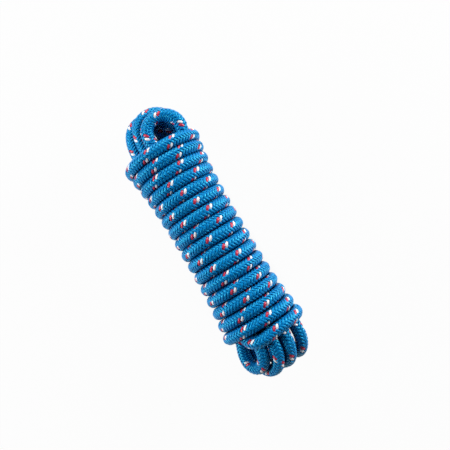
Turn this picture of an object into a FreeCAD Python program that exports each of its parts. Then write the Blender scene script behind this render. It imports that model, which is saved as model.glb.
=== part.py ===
import FreeCAD, Part
import math
import os

# A braided rope of about five and a half metres, laid to and fro lengthwise in nine strands and then wrapped
# seventeen times round them. The hank lies on its back: X runs across it, Y towards its top loops and Z up from
# the surface that it rests on. All sizes are in millimetres.

doc = FreeCAD.newDocument("rope_hank")

# Driving sizes

SIZES = {
    "rope_diameter": 12.0,
    "core_diameter": 8.4,
    "turn_count": 17,
    "lowest_turn_height": -99.6,
    "low_turn_spacing": 12.95,
    "high_turn_spacing": 11.85,
    "waist_width": 68.0,
    "waist_depth": 64.0,
    "end_width": 82.0,
    "end_depth": 68.0,
    "flare_power": 3.0,
    "groove_depth": 3.2,
    "crest_share": 0.42,
    "top_front_rise": 2.6,
    "low_front_drop": 4.0,
    "side_rise": 1.9,
    "bundle_clearance": 0.3,
    "bundle_overhang": 0.1,
    "start_end_across": 5.0,
    "start_end_forward": 1.0,
    "start_end_stand": 3.0,
    "tail_end_across": -7.0,
    "tail_end_back": 9.5,
    "tail_end_sink": 7.6,
    "end_length": 34.0,
    "end_sleeve_length": 24.0,
    "end_sleeve_wall": 0.45,
    "end_clearance": 0.2,
}

sheet = doc.addObject("Spreadsheet::Sheet", "Sizes")
for row, (word, value) in enumerate(SIZES.items(), start=1):
    sheet.set(f"A{row}", word)
    sheet.set(f"B{row}", str(value))
    sheet.setAlias(f"B{row}", word)
doc.recompute()


def size(word):
    """A driving size, read from the sheet."""
    return float(sheet.get(word))


ROPE_RADIUS = size("rope_diameter") / 2
TURNS = int(size("turn_count"))
LAST_TURN = TURNS - 1

# What repeats is faceted: these many flats round the hank and round the rope, and this turn, in radians, at most
# from one section of the rope to the next. The faceted rope has the round one's area.

OVAL_SIDES = 32
ROPE_SIDES = 12
ARC_STEP = 0.3
SAME_AREA = math.sqrt(2 * math.pi / (ROPE_SIDES * math.sin(2 * math.pi / ROPE_SIDES)))


# Where the wrapping turns lie

def front_height(turn):
    """Height of the wraps at the front, a number of turns above the lowest one. They lie closer towards the top."""
    tightening = (size("low_turn_spacing") - size("high_turn_spacing")) / (2 * LAST_TURN)
    return size("lowest_turn_height") + size("low_turn_spacing") * turn - tightening * turn * turn


HALF_HEIGHT = (front_height(LAST_TURN) - front_height(0)) / 2


def end_share(turn):
    """How much of the flare the hank has there: 0 at its waist, 1 at its first and last turns."""
    middle = front_height(0) + HALF_HEIGHT
    return min(abs(front_height(turn) - middle) / HALF_HEIGHT, 1.0) ** size("flare_power")


def half_width(turn):
    """Half the outside width over the wraps."""
    return (size("waist_width") + (size("end_width") - size("waist_width")) * end_share(turn)) / 2


def half_depth(turn):
    """Half the outside depth over the wraps."""
    return (size("waist_depth") + (size("end_depth") - size("waist_depth")) * end_share(turn)) / 2


def front_rise(turn):
    """How far the front of a turn stands above its sides: up at the top end, down on the loose lowest turn."""
    upper = max(turn / LAST_TURN * 2 - 1, 0.0) ** 2
    lowest = max(1 - max(turn, 0.0), 0.0) ** 2
    return size("top_front_rise") * upper - size("low_front_drop") * lowest


def oval(name, turn, growth):
    """A faceted oval section of the hank in the plane of a turn. growth is added to its half width and half depth."""
    width = (half_width(turn) + growth) / math.cos(math.pi / OVAL_SIDES)
    depth = (half_depth(turn) + growth) / math.cos(math.pi / OVAL_SIDES)
    points = []
    for i in range(OVAL_SIDES):
        angle = (i + 0.5) * 2 * math.pi / OVAL_SIDES
        x, z = width * math.cos(angle), depth * math.sin(angle)
        to_front = front_rise(turn) * (z / (half_depth(turn) - ROPE_RADIUS) - 1)
        to_right = size("side_rise") * x / (half_width(turn) - ROPE_RADIUS)
        points.append(FreeCAD.Vector(x, front_height(turn) + to_front + to_right, z))
    ring = doc.addObject("Part::Feature", name)
    ring.Shape = Part.makePolygon(points + points[:1])
    return ring


def loft(name, sections):
    """A closed solid ruled from each section to the next."""
    solid = doc.addObject("Part::Loft", name)
    solid.Sections = sections
    solid.Solid = True
    solid.Ruled = True
    return solid


def cut(name, base, tool):
    """The base with the tool taken out of it."""
    result = doc.addObject("Part::Cut", name)
    result.Base = base
    result.Tool = tool
    return result


# The wrapping turns above the lowest one, as a sleeve with a rounded rib for each turn

SLEEVE_LOW = 0.5
SLEEVE_TOP = LAST_TURN + 0.5
VALLEY = -size("groove_depth")
CREST = 0.0
turn_sections = [oval("turn_valley_1", SLEEVE_LOW, VALLEY)]
for k in range(1, TURNS):
    half_crest = size("crest_share") / 2
    turn_sections.append(oval(f"turn_crest_{k}_low", k - half_crest, CREST))
    turn_sections.append(oval(f"turn_crest_{k}_high", k + half_crest, CREST))
    turn_sections.append(oval(f"turn_valley_{k + 1}", k + 0.5, VALLEY))
turns_outside = loft("turns_outside", turn_sections)

BORE = -size("rope_diameter")
BUNDLE = BORE - size("bundle_clearance")
STATIONS = 8


def evenly(low, high):
    """Evenly spaced turns from low to high."""
    return [low + (high - low) * i / STATIONS for i in range(STATIONS + 1)]


bore = loft("turns_bore", [
    oval(f"bore_{i}", turn, BORE) for i, turn in enumerate(evenly(SLEEVE_LOW - 0.2, SLEEVE_TOP + 0.2))
])
wrap_turns = cut("wrap_turns", turns_outside, bore)

# The lengthwise coil: its nine strands are one oval bundle inside the wraps, and each loop stands free beyond it.
# A loop's points are (across, beyond the end turn, forward), in the order in which the rope runs.

TOP_LOOPS = {
    "front": [(23.5, -4.0, 10.0), (28.5, 8.0, 14.5), (28.2, 20.0, 17.0), (18.5, 29.2, 17.5),
              (4.5, 29.2, 17.5), (-5.0, 20.0, 17.5), (-4.5, -4.0, 14.0)],
    "second": [(22.5, -4.0, -3.0), (25.8, 11.5, 1.0), (23.5, 27.0, 3.5), (12.5, 37.0, 5.0),
               (-2.5, 37.4, 5.0), (-12.8, 26.0, 4.0), (-13.8, -4.0, 2.0)],
    "third": [(16.0, -4.0, -12.5), (18.2, 13.5, -11.0), (15.5, 29.5, -8.5), (4.0, 38.0, -7.5),
              (-10.0, 38.0, -6.5), (-21.5, 27.0, -4.5), (-24.0, -4.0, -2.0)],
    "back": [(5.0, -4.0, -15.0), (8.0, 13.0, -19.0), (7.6, 25.0, -20.0), (0.2, 34.5, -20.0),
             (-12.3, 34.5, -19.4), (-20.2, 24.5, -17.0), (-18.5, -4.0, -12.0)],
}
LOW_LOOPS = {
    "right": [(25.0, -7.0, 7.5), (27.8, 8.5, 11.8), (26.8, 21.0, 11.0), (21.8, 31.0, 4.5),
              (14.8, 33.2, -6.5), (11.6, 24.0, -16.0), (13.3, -6.0, -14.0)],
    "right_middle": [(14.0, -7.0, 14.5), (14.6, 9.0, 17.5), (13.0, 22.5, 16.0), (7.5, 34.0, 7.5),
                     (-2.0, 34.5, -5.0), (-7.5, 23.5, -15.5), (-1.0, -6.0, -15.0)],
    "left_middle": [(0.8, -7.0, 14.8), (2.4, 9.0, 18.3), (0.5, 23.0, 17.0), (-6.5, 34.8, 8.5),
                    (-17.0, 35.5, -4.0), (-22.8, 23.0, -14.5), (-14.0, -6.0, -13.0)],
    "left": [(-10.5, -7.0, 13.2), (-10.6, 7.5, 16.5), (-12.8, 19.0, 14.8), (-19.0, 27.5, 8.0),
             (-27.3, 26.0, -0.5), (-31.0, 14.5, -7.0), (-23.5, -6.0, -8.0)],
}
tubes = {}


def rounded_path(name, points):
    """Straight runs joined by tangent arcs, each as large as 0.45 of its shorter run allows. Prints the radii."""
    corners = [FreeCAD.Vector(*p) for p in points]
    runs = []
    arcs = []
    radii = []
    here = corners[0]
    for before, corner, after in zip(corners, corners[1:], corners[2:]):
        back, onward = before - corner, after - corner
        reach = 0.45 * min(back.Length, onward.Length)
        half_turn = (math.pi - back.getAngle(onward)) / 2
        radii.append(reach / math.tan(half_turn))
        start = corner + back.normalize() * reach
        end = corner + onward.normalize() * reach
        inward = (back + onward).normalize()
        middle = corner + inward * radii[-1] * (1 / math.cos(half_turn) - 1)
        runs.append(Part.LineSegment(here, start).toShape())
        arcs.append(Part.Arc(start, middle, end).toShape())
        here = end
    runs.append(Part.LineSegment(here, corners[-1]).toShape())
    path = doc.addObject("Part::Feature", name)
    path.Shape = Part.Wire([edge for pair in zip(runs, arcs) for edge in pair] + runs[-1:])
    print(f"{name}: tightest bend {min(radii):.1f}, widest {max(radii):.1f}, length {path.Shape.Length:.1f}")
    return runs, arcs


def along(edge, share):
    """The point and the direction of the path a share of the way along one of its edges."""
    parameter = edge.FirstParameter + (edge.LastParameter - edge.FirstParameter) * share
    return edge.valueAt(parameter), edge.tangentAt(parameter)


def rope_along(name, points):
    """A solid of the rope along a rounded path, faceted round the rope and round each arc of the path."""
    runs, arcs = rounded_path(name + "_path", points)
    places = [along(runs[0], 0)]
    for arc in arcs:
        steps = math.ceil(arc.Length / arc.Curve.Radius / ARC_STEP)
        places += [along(arc, (i + 0.5) / steps) for i in range(steps)]
    places.append(along(runs[-1], 1))
    spine = doc.addObject("Part::Feature", name + "_spine")
    spine.Shape = Part.makePolygon([point for point, direction in places])
    section = doc.addObject("Part::RegularPolygon", name + "_section")
    section.Polygon = ROPE_SIDES
    section.setExpression("Circumradius", f"Sizes.rope_diameter / 2 * {SAME_AREA:.5f}")
    first, direction = places[0]
    section.Placement = FreeCAD.Placement(first, FreeCAD.Rotation(FreeCAD.Vector(0, 0, 1), direction))
    swept = doc.addObject("Part::Sweep", name)
    swept.Sections = [section]
    swept.Spine = (spine, [f"Edge{i + 1}" for i in range(len(places) - 1)])
    swept.Solid = True
    swept.Transition = "Right corner"
    tubes[name] = spine
    return swept


LOW_FACE = -0.4
bundle = loft("bundle", [
    oval(f"bundle_{i}", turn, BUNDLE)
    for i, turn in enumerate(evenly(LOW_FACE, SLEEVE_TOP + size("bundle_overhang")))
])
loops = []
for which, points in TOP_LOOPS.items():
    route = [(x, front_height(LAST_TURN) + beyond, z) for x, beyond, z in points]
    loops.append(rope_along(f"top_{which}_loop", route))
for which, points in LOW_LOOPS.items():
    route = [(x, front_height(0) - beyond, z) for x, beyond, z in points]
    loops.append(rope_along(f"low_{which}_loop", route))
strands = doc.addObject("Part::MultiFuse", "bundle_and_loops")
strands.Shapes = [bundle] + loops

# The rope's two ends, each a straight stretch in a bore of the bundle: the sheath, the core inside it and the
# shrunk sleeve that holds the cut braid together

TOP = front_height(SLEEVE_TOP) - front_rise(SLEEVE_TOP)
START = FreeCAD.Vector(size("start_end_across"), TOP + size("start_end_stand"), size("start_end_forward"))
TAIL = FreeCAD.Vector(size("tail_end_across"), TOP - size("tail_end_sink"), -size("tail_end_back"))
DOWN = FreeCAD.Rotation(FreeCAD.Vector(1, 0, 0), 90)


def rod(name, place, radius, length):
    """A round bar that runs down the hank from its place. radius and length are expressions."""
    bar = doc.addObject("Part::Cylinder", name)
    bar.setExpression("Radius", radius)
    bar.setExpression("Height", length)
    bar.Placement = FreeCAD.Placement(place, DOWN)
    return bar


SEATED_RADIUS = "Sizes.rope_diameter / 2 + Sizes.end_sleeve_wall + Sizes.end_clearance"
MOUTH = 12.0
start_mouth = START + FreeCAD.Vector(0, MOUTH, 0)
tail_mouth = TAIL + FreeCAD.Vector(0, MOUTH, 0)
start_bore = rod("start_bore", start_mouth, SEATED_RADIUS, f"Sizes.end_length + {MOUTH} + Sizes.end_clearance")
tail_bore = rod("tail_bore", tail_mouth, SEATED_RADIUS, f"Sizes.end_length + {MOUTH} + Sizes.end_clearance")
with_start_bore = cut("bundle_with_start_bore", strands, start_bore)
lengthwise_coil = cut("lengthwise_coil", with_start_bore, tail_bore)


def rope_end(name, place, sleeve_depth):
    """The sheath, core and end sleeve of one end. sleeve_depth is how far below its place the sleeve begins."""
    outer = rod(name + "_outer", place, "Sizes.rope_diameter / 2", "Sizes.end_length")
    hollow = rod(name + "_hollow", place, "Sizes.core_diameter / 2", "Sizes.end_length")
    sheath = cut(name + "_sheath", outer, hollow)
    core = rod(name + "_core", place, "Sizes.core_diameter / 2", "Sizes.end_length")
    sleeve_place = place - FreeCAD.Vector(0, sleeve_depth, 0)
    skin = rod(name + "_skin", sleeve_place,
               "Sizes.rope_diameter / 2 + Sizes.end_sleeve_wall", "Sizes.end_sleeve_length")
    inside = rod(name + "_inside", sleeve_place, "Sizes.rope_diameter / 2", "Sizes.end_sleeve_length")
    sleeve = cut(name + "_sleeve", skin, inside)
    return [sheath, core, sleeve]


start_pieces = rope_end("start_end", START, 0.0)
tail_pieces = rope_end("tail_end", TAIL, size("end_length") - size("end_sleeve_length"))

# The lowest turn: the rope leaves the bundle at its low end, goes round the front and the right side and climbs
# at the back into the next turn.

FIRST_TURN = [(-19.0, 9.0, 8.0), (-17.5, 0.5, 21.0), (-1.0, -3.0, 29.2), (20.0, 0.5, 24.5), (34.5, 2.0, 9.0),
              (34.0, 3.8, -10.0), (19.0, 5.5, -24.0), (-1.0, 7.5, -28.3), (-16.0, 10.5, -24.5)]
first_turn = rope_along("first_turn", [(x, front_height(0) + rise, z) for x, rise, z in FIRST_TURN])

# The tail: the rope leaves the top turn at the right, crosses the back above it and folds down into the bundle.

TAIL_ROUTE = [(27.0, -1.5, -18.0), (10.0, 4.8, -26.5), (-1.4, 13.3, -28.2), (-7.3, 17.5, -21.9), (-10.3, 13.2, -13.0)]
LAST_RUN = 7.2
tail_points = [(x, front_height(LAST_TURN) + rise, z) for x, rise, z in TAIL_ROUTE]
tail = rope_along("tail", tail_points + [(TAIL.x, TAIL.y + LAST_RUN, TAIL.z), (TAIL.x, TAIL.y, TAIL.z)])
doc.recompute()
for name, spine in tubes.items():
    expected = math.pi * ROPE_RADIUS ** 2 * spine.Shape.Length / 1000
    print(f"{name}: {doc.getObject(name).Shape.Volume / 1000:.2f} cm3, section times length {expected:.2f} cm3")

# Every piece, set down on its back with the middle of the hank's length at the origin

pieces = [lengthwise_coil, wrap_turns, first_turn, tail] + start_pieces + tail_pieces
faults = [o.Name for o in doc.Objects if set(o.State) & {"Invalid", "Error"}]
if faults:
    raise RuntimeError(f"objects that failed: {faults}")
whole = FreeCAD.BoundBox()
for piece in pieces:
    if piece.Shape.isNull() or not piece.Shape.isValid() or not piece.Shape.Solids:
        raise RuntimeError(f"{piece.Name} isn't a valid solid")
    whole.add(piece.Shape.optimalBoundingBox())
seat = FreeCAD.Vector(-whole.Center.x, -whole.Center.y, -whole.ZMin)
print(f"moved by {seat.x:.3f}, {seat.y:.3f}, {seat.z:.3f}; size {whole.XLength:.1f}, {whole.YLength:.1f},",
      f"{whole.ZLength:.1f}")
os.makedirs("parts", exist_ok=True)
for piece in pieces:
    piece.Label = piece.Name
    placed = piece.Shape.copy()
    placed.translate(seat)
    placed.exportStep(f"parts/{piece.Name}.step")
    print(f"{piece.Name}: {len(placed.Solids)} solid, {placed.Volume / 1000:.2f} cm3")
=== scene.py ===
import math

import bpy
import numpy as np
from mathutils import Matrix, Vector


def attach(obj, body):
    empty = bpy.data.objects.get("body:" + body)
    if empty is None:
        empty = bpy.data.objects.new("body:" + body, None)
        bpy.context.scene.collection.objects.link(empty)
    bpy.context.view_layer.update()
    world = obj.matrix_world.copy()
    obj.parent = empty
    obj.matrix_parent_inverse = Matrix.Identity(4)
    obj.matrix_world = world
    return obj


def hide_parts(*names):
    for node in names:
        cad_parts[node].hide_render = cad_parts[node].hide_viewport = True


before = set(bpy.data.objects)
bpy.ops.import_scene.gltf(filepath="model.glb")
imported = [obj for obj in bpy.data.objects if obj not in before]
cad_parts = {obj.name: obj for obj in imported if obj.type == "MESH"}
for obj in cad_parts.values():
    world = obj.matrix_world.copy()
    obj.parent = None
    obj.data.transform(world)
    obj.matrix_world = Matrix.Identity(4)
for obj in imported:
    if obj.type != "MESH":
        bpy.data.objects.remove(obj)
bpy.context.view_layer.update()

# A hank of braided rope with 16 carriers. Its route is in millimetres in the hank's own frame: X across
# it, Y along it towards the top loops and Z up out of its front, with the long axis at X = Z = 0. SEAT
# sets it down on its back in the part's frame.

MM = 0.001
SEAT = np.array([0.0, -0.985, 34.0])


def placed(points):
    """Hank millimetres to metres in the part's frame."""
    return (np.asarray(points, float) + SEAT) * MM


# Camera, at the photograph's distance, lean and roll. A pixel of the photograph is PIXEL millimetres wide
# at LOOKS_AT.

PHOTO_SIZE = 450
PIXEL = 0.964
DISTANCE = 648.0
LEAN = math.radians(2.0)
ROLL = math.radians(30.0)
LOOKS_AT = (17.35, 7.71, 0.0)
SENSOR = 36.0
NEAREST_SEEN = 0.01


def make_camera():
    """The eye stands in front of LOOKS_AT, leaned towards the low end and rolled against the clock."""
    up = Vector((0.0, math.cos(LEAN), math.sin(LEAN)))
    back = Vector((0.0, -math.sin(LEAN), math.cos(LEAN)))
    right = Vector((1.0, 0.0, 0.0))
    picture_up = up * math.cos(ROLL) + right * math.sin(ROLL)
    picture_right = right * math.cos(ROLL) - up * math.sin(ROLL)
    data = bpy.data.cameras.new("camera")
    data.sensor_width = SENSOR
    data.lens = SENSOR * DISTANCE / PIXEL / PHOTO_SIZE
    data.clip_start = NEAREST_SEEN
    camera = bpy.data.objects.new("camera", data)
    bpy.context.scene.collection.objects.link(camera)
    turn = Matrix((picture_right, picture_up, back)).transposed()
    eye = Vector(placed(LOOKS_AT)) + back * DISTANCE * MM
    camera.matrix_world = Matrix.Translation(eye) @ turn.to_4x4()
    bpy.context.scene.camera = camera


make_camera()

# The wrapping turns. LOW_TURN and TOP_TURN are where the lowest and the highest cross the front's middle,
# and WAIST and END are half the width and depth of their oval at the hank's middle and near its ends. The
# spline cuts inside its control points, so they stand further out by SPLINE_SHRINK.

TURNS = 17
POINTS_PER_TURN = 16
POINTS_IN_LAST_TURN = 6
LOW_TURN = -99.6
TOP_TURN = 98.8
LOW_SPACING = 12.95
HIGH_SPACING = 11.85
WAIST = (28.0, 26.0)
END = (35.0, 28.0)
TOP_LEAN = 0.014
FLARE_FROM_MIDDLE = 98.0
FLARE_POWER = 3.0
MOST_FLARE = 1.06
FRONT_EASE = 0.0875
TOP_ARCH = 2.6
SQUARENESS = 2.1
SPLINE_SHRINK = 1.02


def wrap_points():
    """The wraps' control points: an oval helix that climbs to the right across the front. Its oval flares
    towards the ends by a power of the distance from the middle, it climbs more gently in front, and its
    top turns arch."""
    turn = np.arange(1, (TURNS - 1) * POINTS_PER_TURN + POINTS_IN_LAST_TURN + 1) / POINTS_PER_TURN
    angle = np.radians(90.0 - 360.0 * turn)
    tightening = (LOW_SPACING - HIGH_SPACING) / (2 * (TURNS - 1))
    even = LOW_TURN + LOW_SPACING * turn - tightening * turn ** 2
    arch = TOP_ARCH * np.clip(even / FLARE_FROM_MIDDLE, 0.0, None) ** 2
    y = even - FRONT_EASE * LOW_SPACING * np.cos(angle) - arch * (1 - np.sin(angle))
    flare = np.clip(np.abs(y) / FLARE_FROM_MIDDLE, 0.0, MOST_FLARE) ** FLARE_POWER
    across, deep = (waist + (end - waist) * flare for waist, end in zip(WAIST, END))
    along_x, along_z = np.cos(angle), np.sin(angle)
    round_off = (np.abs(along_x) ** SQUARENESS + np.abs(along_z) ** SQUARENESS) ** (-1 / SQUARENESS)
    reach = round_off * SPLINE_SHRINK
    sideways = -TOP_LEAN * np.clip(y, 0.0, None)
    return np.stack([across * reach * along_x + sideways, y, deep * reach * along_z], axis=1)


# The nine lengthwise strands, one in the middle of a ring of eight, which twists by about a fifth of a
# turn on its way down. Each is (x, z) at its top and at its bottom. STRAND_REACH is 12 mm less than in
# part.py, which makes the hidden bends between strands and loops wider. START_END is where the rope's
# start end lies along the middle one.

STRANDS = [
    ((5.0, 1.0), (22.5, 6.5)),
    ((21.5, 9.5), (12.0, -11.0)),
    ((-5.0, 14.0), (12.3, 13.0)),
    ((22.5, -2.0), (0.0, -13.0)),
    ((-14.5, 4.5), (0.5, 14.5)),
    ((14.0, -12.0), (-12.0, -12.0)),
    ((-24.5, -1.0), (-11.5, 13.5)),
    ((2.5, -16.0), (-23.5, -6.5)),
    ((-18.0, -10.5), (-22.0, 7.0)),
]
STRAND_REACH = 78.0
START_END = 70.8
RING = 14.2
STATIONS = 6
EASE_POWER = 2.5
DRAW_IN_POWER = 0.5


def strand_points(which, downwards):
    """A strand's control points. The middle one eases out to its place in the ring at the bottom. The
    others turn about the axis in equal steps, drawn in to the ring between their ends."""
    (top_x, top_z), (low_x, low_z) = STRANDS[which]
    share = np.linspace(0.0, 1.0, STATIONS)
    y = STRAND_REACH * (1 - 2 * share)
    if which == 0:
        y = START_END - (START_END + STRAND_REACH) * share
        x = top_x * (1 - share) + low_x * share ** EASE_POWER
        z = top_z * (1 - share) + low_z * share ** EASE_POWER
    else:
        top, low = math.atan2(top_z, top_x), math.atan2(low_z, low_x)
        twist = -((top - low) % (2 * math.pi))
        angle = top + twist * share
        drawn_in = np.sin(np.pi * share) ** DRAW_IN_POWER
        loose = math.hypot(top_x, top_z) * (1 - share) + math.hypot(low_x, low_z) * share
        radius = loose * (1 - drawn_in) + RING * drawn_in
        x, z = radius * np.cos(angle), radius * np.sin(angle)
    points = np.stack([x, y, z], axis=1)
    return points if downwards else points[::-1]


# The end loops, in the order in which the rope runs: (across, beyond the end turn, forward)

LOW_LOOPS = [
    [(25, -7, 7.5), (27.8, 8.5, 11.8), (26.8, 21, 11), (21.8, 31, 4.5),
     (14.8, 33.2, -6.5), (11.6, 24, -16), (13.3, -6, -14)],
    [(14, -7, 14.5), (14.6, 9, 17.5), (13, 22.5, 16), (7.5, 34, 7.5),
     (-2, 34.5, -5), (-7.5, 23.5, -15.5), (-1, -6, -15)],
    [(0.8, -7, 14.8), (2.4, 9, 18.3), (0.5, 23, 17), (-6.5, 34.8, 8.5),
     (-17, 35.5, -4), (-22.8, 23, -14.5), (-14, -6, -13)],
    [(-10.5, -7, 13.2), (-10.6, 7.5, 16.5), (-12.8, 19, 14.8), (-19, 27.5, 8),
     (-27.3, 26, -0.5), (-31, 14.5, -7), (-23.5, -6, -8)],
]
TOP_LOOPS = [
    [(23.5, -4, 10), (28.5, 8, 14.5), (28.2, 20, 17), (18.5, 29.2, 17.5),
     (4.5, 29.2, 17.5), (-5, 20, 17.5), (-4.5, -4, 14)],
    [(22.5, -4, -3), (25.8, 11.5, 1), (23.5, 27, 3.5), (12.5, 37, 5),
     (-2.5, 37.4, 5), (-12.8, 26, 4), (-13.8, -4, 2)],
    [(16, -4, -12.5), (18.2, 13.5, -11), (15.5, 29.5, -8.5), (4, 38, -7.5),
     (-10, 38, -6.5), (-21.5, 27, -4.5), (-24, -4, -2)],
    [(5, -4, -15), (8, 13, -19), (7.6, 25, -20), (0.2, 34.5, -20),
     (-12.3, 34.5, -19.4), (-20.2, 24.5, -17), (-18.5, -4, -12)],
]

# The way out of the bundle into the first turn, and the way from the last turn across the back into the
# bundle

LEAD_IN = [(-19.5, -91.5, 11), (-17.5, -99.5, 20.5), (-8, -103, 28)]
TAIL = [(10, 103.6, -26.5), (-1.4, 112.1, -28.2), (-7.3, 116.3, -21.9), (-10.3, 112, -13), (-7, 101.4, -9.5),
        (-7, 94.2, -9.5)]


def loop(points, end, way):
    """A loop's points in the hank's frame, from its end turn onwards, way 1 being up and -1 down."""
    across, beyond, forward = np.array(points, float).T
    return np.stack([across, end + way * beyond, forward], axis=1)


def route_points():
    """Every control point of the rope, in millimetres: down a strand, round a low loop, up, round a top
    loop, once for each pair of loops, then down the last strand, out in front, round the wraps and in at
    the back."""
    route = []
    for pair, (low_loop, top_loop) in enumerate(zip(LOW_LOOPS, TOP_LOOPS)):
        route += [strand_points(2 * pair, True), loop(low_loop, LOW_TURN, -1)]
        route += [strand_points(2 * pair + 1, False), loop(top_loop, TOP_TURN, 1)]
    route += [strand_points(len(STRANDS) - 1, True), LEAD_IN, wrap_points(), TAIL]
    return np.vstack([np.asarray(stretch, float) for stretch in route])


SPLINE_STEPS = 14
SAME_PLACE = 1e-7


def smooth_line(points):
    """The points of a NURBS spline through the route, read from a curve with no bevel."""
    curve = bpy.data.curves.new("route", "CURVE")
    curve.dimensions = "3D"
    curve.resolution_u = SPLINE_STEPS
    spline = curve.splines.new("NURBS")
    spline.points.add(len(points) - 1)
    spline.points.foreach_set("co", np.hstack([points, np.ones((len(points), 1))]).ravel())
    spline.order_u = 3
    spline.use_endpoint_u = True
    holder = bpy.data.objects.new("route", curve)
    mesh = bpy.data.meshes.new_from_object(holder)
    line = np.empty(len(mesh.vertices) * 3)
    mesh.vertices.foreach_get("co", line)
    bpy.data.objects.remove(holder)
    bpy.data.curves.remove(curve)
    bpy.data.meshes.remove(mesh)
    return line.reshape(-1, 3)


class Line:
    """A smooth line with the distance along it, its direction and two directions square to it that don't
    twist."""

    def __init__(self, points):
        """Drops points that repeat, and takes the direction by central differences. The side direction is
        carried from point to point by taking out of it what lies along the new direction."""
        step = np.linalg.norm(np.diff(points, axis=0), axis=1)
        keep = np.append(True, step > SAME_PLACE)
        self.points = points[keep]
        self.along = np.append(0.0, np.cumsum(np.linalg.norm(np.diff(self.points, axis=0), axis=1)))
        self.length = self.along[-1]
        ahead = np.gradient(self.points, self.along, axis=0)
        self.ahead = ahead / np.linalg.norm(ahead, axis=1, keepdims=True)
        side = np.empty_like(self.points)
        carried = np.array([0.0, 0.0, 1.0])
        for i, direction in enumerate(self.ahead):
            carried = carried - direction * (carried @ direction)
            carried = carried / math.sqrt(carried @ carried)
            side[i] = carried
        self.side = side
        self.other = np.cross(self.ahead, side)

    def at(self, distance, values=None):
        """Values of the line, its points unless others are named, at distances along it."""
        values = self.points if values is None else values
        return np.stack([np.interp(distance, self.along, values[:, k]) for k in range(3)], axis=-1)

    def surface(self, distance, angle, radius):
        """Points at an angle round the line and a radius from it, at distances along it."""
        centre = self.at(distance)
        side, other = self.at(distance, self.side), self.at(distance, self.other)
        outward = side * np.cos(angle)[..., None] + other * np.sin(angle)[..., None]
        outward /= np.linalg.norm(outward, axis=-1, keepdims=True)
        return centre + outward * np.asarray(radius)[..., None]


rope_line = Line(smooth_line(placed(route_points())))


# Meshes

def new_piece(name, vertices, quads, caps, uv, material):
    """A mesh object from arrays: vertices (n, 3), quads (m, 4), caps (k, c) and one (u, v) per vertex."""
    mesh = bpy.data.meshes.new(name)
    loops = np.concatenate([quads.ravel(), caps.ravel()]).astype(np.int32)
    sizes = np.concatenate([np.full(len(quads), 4), np.full(len(caps), caps.shape[1])]).astype(np.int32)
    mesh.vertices.add(len(vertices))
    mesh.vertices.foreach_set("co", vertices.astype(np.float32).ravel())
    mesh.loops.add(len(loops))
    mesh.loops.foreach_set("vertex_index", loops)
    mesh.polygons.add(len(sizes))
    mesh.polygons.foreach_set("loop_start", np.append(0, np.cumsum(sizes)[:-1]).astype(np.int32))
    mesh.polygons.foreach_set("use_smooth", np.ones(len(sizes), bool))
    mesh.update(calc_edges=True)
    layer = mesh.uv_layers.new(name="braid")
    layer.uv.foreach_set("vector", uv[loops].astype(np.float32).ravel())
    mesh.validate()
    mesh.materials.append(material)
    piece = bpy.data.objects.new(name, mesh)
    bpy.context.scene.collection.objects.link(piece)
    return piece


def rings_to_faces(strips, stations, around):
    """Faces of closed tubes, each made of as many rings of points as stations: a quad between
    neighbouring points of neighbouring rings, and a cap on the first and the last ring."""
    start = (np.arange(strips) * stations * around)[:, None, None]
    ring = (np.arange(stations - 1) * around)[None, :, None]
    k = np.arange(around)[None, None, :]
    after = (k + 1) % around
    here, beside = start + ring + k, start + ring + after
    quads = np.stack([here, beside, beside + around, here + around], axis=-1).reshape(-1, 4)
    first = (start[:, 0] + np.arange(around)[::-1][None, :])
    last = (start[:, 0] + (stations - 1) * around + np.arange(around)[None, :])
    return quads, np.vstack([first, last])


# The braid: eight carriers wind one way and eight the other, each over two and under two of the others.
# PITCH is the rope's length for one turn of a carrier. A float is a stretch in which a carrier lies on
# top, and its crest is where it lies highest. The ribbons have a section of six points, each with a place
# across and a height. WAVE is how far a carrier rises and sinks, STEEPNESS how sharply it does so, and
# TRACER_DIVE shortens the tracers' floats. In the braid's map the carriers lie CARRIER_UV apart.

PITCH = 24.6 * MM
CARRIERS = 8
CARRIERS_PER_FLOAT = 4
WAVE_LAG = 0.5
STEPS_PER_PITCH = 30
FEWEST_STEPS = 8
CORE_RADIUS = 4.95 * MM
BRAID_RADIUS = 5.6 * MM
WAVE = 0.42 * MM
STEEPNESS = 1.4
TRACER_DIVE = 0.45
RIBBON_ACROSS = np.array([-1.25, -0.7, 0.7, 1.25, 0.75, -0.75]) * MM
RIBBON_HEIGHT = np.array([-0.16, 0.3, 0.3, -0.16, -0.5, -0.5]) * MM
BRAID_ANGLE = math.atan(2 * math.pi * BRAID_RADIUS / PITCH)
CARRIER_UV = 10 * MM

# Where floats of the red tracer show. These places were measured in the photograph with scratch programs
# and then rounded. On five of the end loops, in the order in which the rope runs, they are places on the
# rope's surface in the hank's millimetres. On the fronts of the sixteen turns above the lowest, from low
# to high, they are millimetres to the right of the front's middle and degrees from straight out of the
# front towards the top loops.

LOOP_FLOATS = [(23, -129, 11), (15, 129, 24), (10, -130, 17), (-17, -135, 3), (-30, -119, 1)]
RED_FLOATS = [(-15, 35), (-14, -20), (-1, -10), (-7, -15), (-5, 45), (-12, 15), (5, 0), (-3, 10),
              (-13, -15), (-14, 15), (4, 5), (-1, 10), (-7, 20), (9, 30), (-14, -45), (8, -45)]

# Without slip, the red tracer has a crest at FIRST_CREST floats from the rope's start and at each float
# after it

FLOATS_PER_PITCH = 2 * CARRIERS // CARRIERS_PER_FLOAT
FIRST_CREST = 0.375


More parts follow.
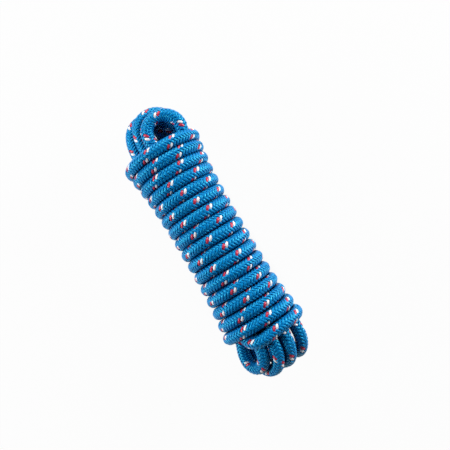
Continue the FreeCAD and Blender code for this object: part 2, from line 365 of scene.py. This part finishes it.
def braid_setting():
    """How the braid lies at the loops and fronts where a red float is given: the distance along the rope,
    the slip along it, which brings a crest of the tracer to the float, and the roll in turns, which
    brings that crest to the float's side of the rope."""
    on_loops = placed(LOOP_FLOATS)
    on_fronts = placed(wrap_points()[POINTS_PER_TURN - 1::POINTS_PER_TURN])
    spots = np.vstack([on_loops, on_fronts])
    away = np.linalg.norm(rope_line.points[None] - spots[:, None], axis=-1)
    nearest = np.argmin(away, axis=1)
    found_at = rope_line.along[nearest]
    to_right, upwards = np.vstack([np.zeros((len(on_loops), 2)), RED_FLOATS]).T
    float_at = found_at + to_right * MM
    crest = np.round(FLOATS_PER_PITCH * float_at / PITCH - FIRST_CREST) + FIRST_CREST
    crest_at = PITCH * crest / FLOATS_PER_PITCH
    faces = spots - rope_line.points[nearest]
    faces[len(on_loops):] = (0.0, 0.0, 1.0)
    straight_out = np.arctan2(np.sum(faces * rope_line.other[nearest], axis=1),
                              np.sum(faces * rope_line.side[nearest], axis=1))
    roll = (straight_out - np.radians(upwards)) / (2 * np.pi) + crest_at / PITCH
    return found_at, crest_at - float_at, np.unwrap(roll, period=1)


SET_AT, SET_SLIP, SET_ROLL = braid_setting()


def braid_phase(distance):
    """The braid's turns along the rope, from the distance and the slip, and its roll in turns."""
    slip = np.interp(distance, SET_AT, SET_SLIP)
    return (distance + slip) / PITCH, np.interp(distance, SET_AT, SET_ROLL)


# The wraps hide what lies within BURIED_LENGTH of the hank's middle and BURIED_RADIUS of its axis, in
# millimetres

BURIED_LENGTH = 80.0
BURIED_RADIUS = 22.0
FEWEST_POINTS = 8


def shown_stretches():
    """Start and end distances of the stretches of rope that aren't buried in the middle of the wraps."""
    x, y, z = (rope_line.points / MM - SEAT).T
    shown = (np.abs(y) > BURIED_LENGTH) | (np.hypot(x, z) > BURIED_RADIUS)
    edges = np.flatnonzero(np.diff(np.concatenate([[0], shown.astype(int), [0]])))
    return [(rope_line.along[first], rope_line.along[after - 1])
            for first, after in edges.reshape(-1, 2) if after - first > FEWEST_POINTS]


def ribbon_points(start, end, carrier, hand, dive):
    """The points of one carrier over one stretch, and their places in its weave. Its angle changes by a
    turn for each pitch, and hand, 1 or -1, is the way it winds. Its section is laid on the surface square
    to its own direction. Its height is a wave with one crest for each four carriers that it meets,
    flattened to the floats of a two over two under braid. dive lowers the wave before it is flattened,
    which shortens the floats."""
    stations = max(int((end - start) / PITCH * STEPS_PER_PITCH), FEWEST_STEPS)
    distance = np.linspace(start, end, stations)
    wound, roll = braid_phase(distance)
    turn = carrier / CARRIERS + hand * wound + roll
    along = distance[:, None] - hand * RIBBON_ACROSS * math.sin(BRAID_ANGLE)
    angle = 2 * np.pi * turn[:, None] + RIBBON_ACROSS * math.cos(BRAID_ANGLE) / BRAID_RADIUS
    wound, roll = braid_phase(along)
    met = CARRIERS * (angle / (2 * np.pi) - roll + hand * wound)
    wave = np.cos(2 * np.pi * (carrier + met - WAVE_LAG) / CARRIERS_PER_FLOAT) * hand
    height = WAVE * np.tanh(STEEPNESS * (wave - dive) * (1 + dive)) / math.tanh(STEEPNESS)
    radius = BRAID_RADIUS + height + RIBBON_HEIGHT
    run = distance[:, None] / math.cos(BRAID_ANGLE) + 0 * RIBBON_ACROSS
    uv = np.stack([RIBBON_ACROSS + CARRIER_UV * carrier + 0 * run, run], axis=-1) / MM
    return rope_line.surface(along, angle, radius), uv


def braid_piece(name, carriers, hand, material, dive=0.0):
    """Several carriers over every shown stretch as one piece."""
    vertices, uvs, quads, caps = [], [], [], []
    count = 0
    for start, end in shown_stretches():
        strips = [ribbon_points(start, end, carrier, hand, dive) for carrier in carriers]
        stations = len(strips[0][0])
        stretch_quads, stretch_caps = rings_to_faces(len(strips), stations, len(RIBBON_ACROSS))
        quads.append(stretch_quads + count)
        caps.append(stretch_caps + count)
        for points, uv in strips:
            vertices.append(points.reshape(-1, 3))
            uvs.append(uv.reshape(-1, 2))
            count += len(vertices[-1])
    arrays = [np.vstack(rows) for rows in (vertices, quads, caps, uvs)]
    return new_piece(name, *arrays, material)


TUBE_SIDES = 12
TUBE_STEP = 2.0 * MM


def rope_body(name, material):
    """The round inside of the rope that the braid lies on, over the rope's whole length, and the middles
    of its rings."""
    stations = int(rope_line.length / TUBE_STEP)
    distance = np.linspace(0.0, rope_line.length, stations)
    angle = np.arange(TUBE_SIDES) * 2 * np.pi / TUBE_SIDES
    around = distance[:, None] + 0 * angle
    points = rope_line.surface(around, angle + 0 * around, CORE_RADIUS + 0 * around)
    uv = np.stack([angle * CORE_RADIUS + 0 * around, around], axis=-1) / MM
    quads, caps = rings_to_faces(1, stations, TUBE_SIDES)
    piece = new_piece(name, points.reshape(-1, 3), quads, caps, uv.reshape(-1, 2), material)
    return piece, rope_line.at(distance)


# Materials

def colour(code):
    """A hex colour turned to the linear values that a shader takes."""
    parts = [int(code[i:i + 2], 16) / 255 for i in (1, 3, 5)]
    return tuple(c / 12.92 if c <= 0.04045 else ((c + 0.055) / 1.055) ** 2.4 for c in parts) + (1.0,)


def add_node(material, kind, links=(), **settings):
    """A node of a material. Settings that name an input set it, the others set the node, and links are
    pairs of an output and the input that it goes to."""
    node = material.node_tree.nodes.new(kind)
    for key, value in settings.items():
        if key in node.inputs:
            node.inputs[key].default_value = value
        else:
            setattr(node, key, value)
    for source, target in links:
        material.node_tree.links.new(source, node.inputs[target])
    return node


def mapped(material, value, taken, given=(0.0, 1.0)):
    """A node that maps a value from the range that is taken to the range that is given."""
    ranges = {"From Min": taken[0], "From Max": taken[1], "To Min": given[0], "To Max": given[1]}
    return add_node(material, "ShaderNodeMapRange", [(value, "Value")], **ranges)


def new_material(name):
    """A new material and its Principled shader."""
    material = bpy.data.materials.new(name)
    material.use_nodes = True
    return material, material.node_tree.nodes["Principled BSDF"]


# The yarn's finish. YARN and PATCH are in the millimetres of the braid's own map. Blender's wave texture
# runs through WAVE_TEXTURE_ANGLE radians times its scale for each unit of its map. The last two set the
# painted shade in crevices: the reach of the ambient occlusion, and the range of the share of open sky over
# which the yarn goes from its deep colour, a painted shade, to its full one.

YARN = 0.5
YARN_SLANT = 0.22
YARN_WANDER = 1.5
YARN_WANDER_SCALE = 0.6
WAVE_TEXTURE_ANGLE = 20
PATCH = 2.6
PATCH_DETAIL = 3.0
SHADES = (0.3, 0.7)
FINISHES = (0.35, 0.65)
ROUGHNESS = (0.44, 0.36)
BUMP_STRENGTH = 0.2
BUMP_DEPTH = 0.1 * MM
GLOSS = 1.0
PAINTED_SHADE_REACH = 9.0 * MM
PAINTED_SHADE_RANGE = (0.2, 0.75)


def braided_yarn(name, light, dark_tone_and_groove_shade, deep, gloss):
    """Braided filament yarn: each ribbon is five twisted yarns side by side, with painted shade in the
    grooves between them, in patches that differ a little in tone and in roughness. Ambient occlusion paints
    shade into its crevices in its deep colour, and its gloss is tinted. Real yarns are about a third of a
    millimetre wide and are drawn at half a millimetre to show."""
    material, shader = new_material(name)
    link = material.node_tree.links.new
    place = add_node(material, "ShaderNodeUVMap", uv_map="braid")
    slant = add_node(material, "ShaderNodeMapping", [(place.outputs["UV"], "Vector")],
                     Rotation=(0, 0, YARN_SLANT))
    yarns = add_node(material, "ShaderNodeTexWave", [(slant.outputs["Vector"], "Vector")],
                     bands_direction="X", Scale=2 * math.pi / (WAVE_TEXTURE_ANGLE * YARN),
                     Distortion=YARN_WANDER, **{"Detail Scale": YARN_WANDER_SCALE})
    patches = add_node(material, "ShaderNodeTexNoise", [(place.outputs["UV"], "Vector")],
                       Scale=1 / PATCH, Detail=PATCH_DETAIL)
    shade = mapped(material, patches.outputs["Fac"], SHADES)
    blend = add_node(material, "ShaderNodeMixRGB", [(shade.outputs["Result"], "Fac")],
                     Color1=colour(dark_tone_and_groove_shade), Color2=colour(light))
    # Painted shade: the grooves between the yarns take the second colour
    groove_shaded_colour = add_node(material, "ShaderNodeMixRGB",
                     [(yarns.outputs["Fac"], "Fac"), (blend.outputs["Color"], "Color2")], Color1=colour(dark_tone_and_groove_shade))
    bump = add_node(material, "ShaderNodeBump", [(yarns.outputs["Fac"], "Height")],
                    Strength=BUMP_STRENGTH, Distance=BUMP_DEPTH)
    rough = mapped(material, patches.outputs["Fac"], FINISHES, ROUGHNESS)
    # Painted shade: ambient occlusion turns the yarn to its deep colour in its crevices
    painted_shade_occlusion = add_node(material, "ShaderNodeAmbientOcclusion", Distance=PAINTED_SHADE_REACH)
    painted_shade_mask = mapped(material, painted_shade_occlusion.outputs["AO"], PAINTED_SHADE_RANGE)
    painted_crevice_shade = add_node(material, "ShaderNodeMixRGB",
                       [(painted_shade_mask.outputs["Result"], "Fac"), (groove_shaded_colour.outputs["Color"], "Color2")],
                       Color1=colour(deep))
    link(painted_crevice_shade.outputs["Color"], shader.inputs["Base Color"])
    link(bump.outputs["Normal"], shader.inputs["Normal"])
    link(rough.outputs["Result"], shader.inputs["Roughness"])
    shader.inputs["Specular Tint"].default_value = colour(gloss)
    shader.inputs["Specular IOR Level"].default_value = GLOSS
    return material


# The mottle of the plain finishes: its patches to the metre, and its darkest shade

MOTTLE_SCALE = 900.0
MOTTLE_SHADE = 0.8


def plain(name, code, roughness):
    """One finish with a faint mottle."""
    material, shader = new_material(name)
    place = add_node(material, "ShaderNodeTexCoord")
    mottle = add_node(material, "ShaderNodeTexNoise", [(place.outputs["Object"], "Vector")],
                      Scale=MOTTLE_SCALE)
    darker = tuple(part * MOTTLE_SHADE for part in colour(code)[:3]) + (1.0,)
    blend = add_node(material, "ShaderNodeMixRGB", [(mottle.outputs["Fac"], "Fac")],
                     Color1=darker, Color2=colour(code))
    material.node_tree.links.new(blend.outputs["Color"], shader.inputs["Base Color"])
    shader.inputs["Roughness"].default_value = roughness
    return material


# Each yarn's deep colour is painted shade in its crevices. Its second colour is its lower tone, and also
# painted shade in the grooves between its yarns.
blue_yarn = braided_yarn("blue_polyamide_yarn", light="#0094DC", dark_tone_and_groove_shade="#006CB8",
                         deep="#002468", gloss="#48FFF8")
red_yarn = braided_yarn("red_polyamide_yarn", light="#DC3454", dark_tone_and_groove_shade="#BC2444",
                        deep="#60102C", gloss="#FFC8D0")
white_yarn = braided_yarn("white_polyamide_yarn", light="#FFFFFF", dark_tone_and_groove_shade="#E6EEF6",
                          deep="#5C84B0", gloss="#FFFFFF")
# Painted shade: the rope's body under the braid is navy, standing in for the shade between the carriers
painted_shade_inside = plain("painted_shade_inner_yarn", "#042C5C", roughness=0.8)
core_yarn = plain("white_core_yarn", "#E8E8E2", roughness=0.7)
shrunk_film = plain("clear_blue_shrunk_film", "#1D5C9C", roughness=0.25)
cut_sheath = plain("blue_polyamide_cut_end", "#0A7BC8", roughness=0.45)

# The rope

body, centres = rope_body("rope_body", painted_shade_inside)
braid = [
    braid_piece("braid_right_hand_1", (0, 1, 2), 1, blue_yarn),
    braid_piece("braid_right_hand_2", (3, 4, 5), 1, blue_yarn),
    braid_piece("braid_right_hand_3", (6, 7), 1, blue_yarn),
    braid_piece("braid_left_hand_1", (2, 3, 4), -1, blue_yarn),
    braid_piece("braid_left_hand_2", (5, 6, 7), -1, blue_yarn),
    braid_piece("red_tracer", (0,), -1, red_yarn, TRACER_DIVE),
    braid_piece("white_tracer", (1,), -1, white_yarn, TRACER_DIVE),
]
for piece in [body] + braid:
    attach(piece, "root")
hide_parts("lengthwise_coil", "wrap_turns", "first_turn", "tail")
end_parts = [f"{end}_end_{part}" for end in ("start", "tail") for part in ("sheath", "core", "sleeve")]
end_nodes = [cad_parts[part] for part in end_parts]
for node, material in zip(end_nodes, (cut_sheath, core_yarn, shrunk_film) * 2):
    node.data.materials.clear()
    node.data.materials.append(material)

# Floor and light, in metres and watts. The floor has a painted shadow under the hank: its white share goes
# from none to FLOOR_WHITE over a range of the share of open sky, measured within a reach, and AMBIENT is the
# strength with which the white world lights the hank.

FLOOR_REACH = 3.0
FLOOR_GREY = "#C8C8C8"
FLOOR_ROUGHNESS = 0.9
FLOOR_WHITE = 0.96
PAINTED_SHADOW_REACH = 0.06
PAINTED_SHADOW_RANGE = (0.2, 0.5)
LAMP_SIZE = 0.35
LAMP_AIM = (0.0, 0.0, 0.03)
LAMPS = [
    ("top_box", (0.1, 0.95, 0.42), 7.0),
    ("left_box", (-0.9, 0.25, 0.36), 7.5),
    ("right_box", (1.0, 0.05, 0.3), 11.5),
]
AMBIENT = 0.12


def make_floor():
    """A wide floor that looks white in the open, with a painted shadow close under the hank."""
    mesh = bpy.data.meshes.new("floor")
    corners = [(FLOOR_REACH * x, FLOOR_REACH * y, 0) for x, y in ((-1, -1), (1, -1), (1, 1), (-1, 1))]
    mesh.from_pydata(corners, [], [(0, 1, 2, 3)])
    floor = bpy.data.objects.new("floor", mesh)
    bpy.context.scene.collection.objects.link(floor)
    material, shader = new_material("white_paper")
    shader.inputs["Base Color"].default_value = colour(FLOOR_GREY)
    shader.inputs["Roughness"].default_value = FLOOR_ROUGHNESS
    ray = add_node(material, "ShaderNodeLightPath")
    mirrored = add_node(material, "ShaderNodeMath",
                        [(ray.outputs["Is Glossy Ray"], 0), (ray.outputs["Is Transmission Ray"], 1)],
                        operation="MAXIMUM")
    looked_at = add_node(material, "ShaderNodeMath",
                         [(ray.outputs["Is Camera Ray"], 0), (mirrored.outputs[0], 1)], operation="MAXIMUM")
    # Painted shadow: the white share fades to none where the hank shuts the floor in
    painted_shade_occlusion = add_node(material, "ShaderNodeAmbientOcclusion", Distance=PAINTED_SHADOW_REACH)
    outside_painted_shadow = mapped(material, painted_shade_occlusion.outputs["AO"], PAINTED_SHADOW_RANGE, (0.0, FLOOR_WHITE))
    share = add_node(material, "ShaderNodeMath",
                     [(looked_at.outputs[0], 0), (outside_painted_shadow.outputs["Result"], 1)], operation="MULTIPLY")
    white = add_node(material, "ShaderNodeEmission")
    paper = add_node(material, "ShaderNodeMixShader",
                     [(share.outputs[0], 0), (shader.outputs[0], 1), (white.outputs[0], 2)])
    out = material.node_tree.nodes["Material Output"]
    material.node_tree.links.new(paper.outputs[0], out.inputs["Surface"])
    mesh.materials.append(material)


def make_light(name, place, power):
    """A square soft light at a place, turned towards LAMP_AIM."""
    data = bpy.data.lights.new(name, "AREA")
    data.size = LAMP_SIZE
    data.energy = power
    light = bpy.data.objects.new(name, data)
    bpy.context.scene.collection.objects.link(light)
    facing = (Vector(LAMP_AIM) - Vector(place)).to_track_quat("-Z", "Y")
    light.matrix_world = Matrix.Translation(place) @ facing.to_matrix().to_4x4()


def make_world():
    """A white world that the camera sees at full strength and that lights the hank by AMBIENT."""
    world = bpy.data.worlds.new("studio")
    bpy.context.scene.world = world
    world.use_nodes = True
    sky = world.node_tree.nodes["Background"]
    sky.inputs["Color"].default_value = (1.0, 1.0, 1.0, 1.0)
    ray = add_node(world, "ShaderNodeLightPath")
    strength = mapped(world, ray.outputs["Is Camera Ray"], (0.0, 1.0), (AMBIENT, 1.0))
    world.node_tree.links.new(strength.outputs["Result"], sky.inputs["Strength"])


make_floor()
for name, place, power in LAMPS:
    make_light(name, place, power)
make_world()
bpy.context.scene.view_settings.view_transform = "Standard"
